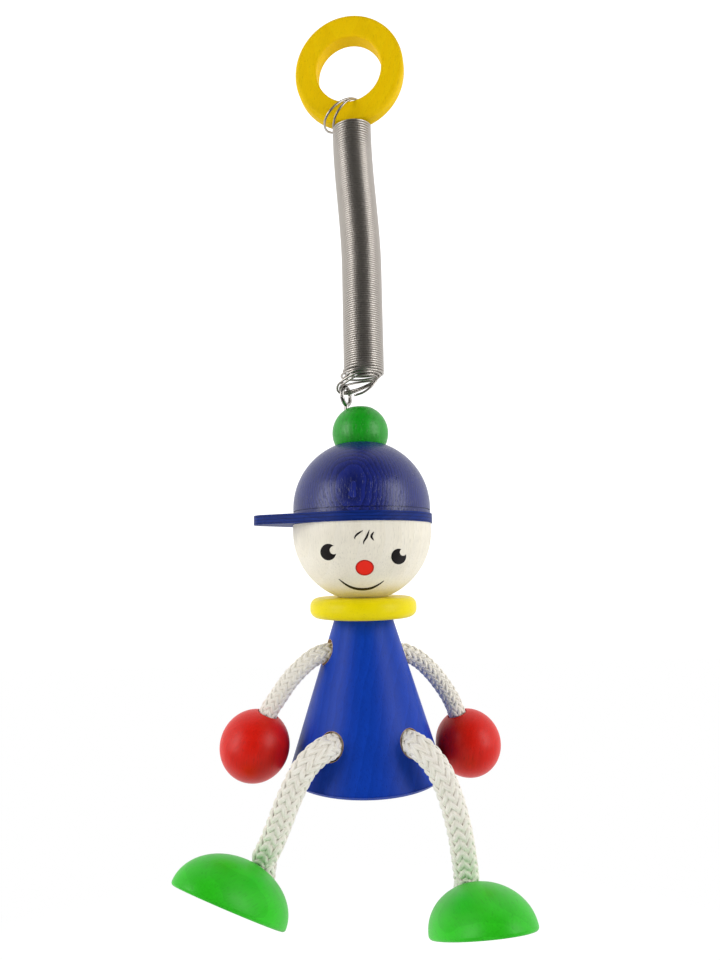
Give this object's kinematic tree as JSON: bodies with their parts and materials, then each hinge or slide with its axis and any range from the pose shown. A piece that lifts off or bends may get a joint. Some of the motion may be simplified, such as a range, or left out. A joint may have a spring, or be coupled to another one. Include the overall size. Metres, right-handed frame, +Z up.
{
  "type": "swinging figure toy",
  "caption": "Wooden figure in a peaked cap with rope arms and legs, hung from a ring by a close-wound spring so that it bounces and swings.",
  "frame": {"origin": "top of the hanging ring's bore, where a hook or finger holds the toy", "axes": "+Z up along the hang, the figure faces -Y, +X to the figure's left hand side as seen from the front on the right"},
  "size_m": [0.1247, 0.0926, 0.3903],
  "materials": {
    "yellow_gloss_lacquered_wood": "gloss lacquer",
    "spring_steel_wire": "drawn wire, bright",
    "zinc_plated_steel": "bright zinc",
    "green_stained_wood": "satin lacquer",
    "dark_blue_stained_wood": "satin lacquer",
    "blue_stained_wood": "satin lacquer",
    "plain_beech": "plain",
    "whitewashed_beech": "matte",
    "blue_gloss_lacquered_wood": "gloss lacquer",
    "red_gloss_lacquered_wood": "gloss lacquer",
    "green_gloss_lacquered_wood": "gloss lacquer",
    "braided_cotton_rope": "braided cotton"
  },
  "bodies": {
    "ring": {"hanging_ring": "yellow_gloss_lacquered_wood"},
    "spring_top": {"spring_hanger": "spring_steel_wire", "spring_coil": "spring_steel_wire"},
    "spring_end": {"spring_hook": "spring_steel_wire"},
    "figure": {"screw_eye": "zinc_plated_steel", "cap_bobble": "green_stained_wood", "cap_dome": "dark_blue_stained_wood", "cap_peak": "blue_stained_wood", "cap_dowel": "plain_beech", "head": "whitewashed_beech", "neck_dowel": "plain_beech", "collar": "yellow_gloss_lacquered_wood", "torso": "blue_gloss_lacquered_wood"},
    "left_arm": {"left_arm_rope": "braided_cotton_rope", "left_hand": "red_gloss_lacquered_wood"},
    "right_arm": {"right_arm_rope": "braided_cotton_rope", "right_hand": "red_gloss_lacquered_wood"},
    "left_leg": {"left_leg_rope": "braided_cotton_rope"},
    "left_ankle": {"left_foot": "green_gloss_lacquered_wood"},
    "right_leg": {"right_leg_rope": "braided_cotton_rope"},
    "right_ankle": {"right_foot": "green_gloss_lacquered_wood"}
  },
  "joints": [
    {"name": "spring_swing", "type": "hinge", "parent": "ring", "child": "spring_top", "pos_m": [0, 0, -0.03544], "axis": [0.9877, -0.1564, 0], "range_deg": [-20, 20]},
    {"name": "figure_bounce", "type": "slide", "parent": "spring_top", "child": "spring_end", "axis": [0, 0, -1], "range_m": [0, 0.06], "stiffness_N_per_m": 17.6, "springref_m": -0.16, "deforming": ["spring_coil"]},
    {"name": "figure_sway", "type": "hinge", "parent": "spring_end", "child": "figure", "pos_m": [-0.004, 0, -0.1676], "axis": [0, 1, 0], "range_deg": [-15, 15]},
    {"name": "left_shoulder", "type": "hinge", "parent": "figure", "child": "left_arm", "pos_m": [-0.01375, -0.00515, -0.27913], "axis": [-0.309, 0.9511, 0], "range_deg": [0, 55], "deforming": ["left_arm_rope"]},
    {"name": "right_shoulder", "type": "hinge", "parent": "figure", "child": "right_arm", "pos_m": [0.01795, 0.00515, -0.28087], "axis": [0.309, -0.9511, 0], "range_deg": [0, 55], "deforming": ["right_arm_rope"]},
    {"name": "left_hip", "type": "hinge", "parent": "figure", "child": "left_leg", "pos_m": [-0.01126, -0.02315, -0.3118], "axis": [-0.866, 0.5, 0], "range_deg": [0, 40], "deforming": ["left_leg_rope"]},
    {"name": "left_ankle_bend", "type": "hinge", "parent": "left_leg", "child": "left_ankle", "pos_m": [-0.03637, -0.0258, -0.35427], "axis": [0.7902, -0.6129, 0], "range_deg": [-15, 15], "stiffness_Nm_per_rad": 0.03, "deforming": ["left_leg_rope"]},
    {"name": "right_hip", "type": "hinge", "parent": "figure", "child": "right_leg", "pos_m": [0.01964, -0.02017, -0.3118], "axis": [-0.7547, -0.6561, 0], "range_deg": [0, 40], "deforming": ["right_leg_rope"]},
    {"name": "right_ankle_bend", "type": "hinge", "parent": "right_leg", "child": "right_ankle", "pos_m": [0.03814, -0.02411, -0.36123], "axis": [0.9803, 0.1977, 0], "range_deg": [-15, 15], "stiffness_Nm_per_rad": 0.03, "deforming": ["right_leg_rope"]}
  ]
}
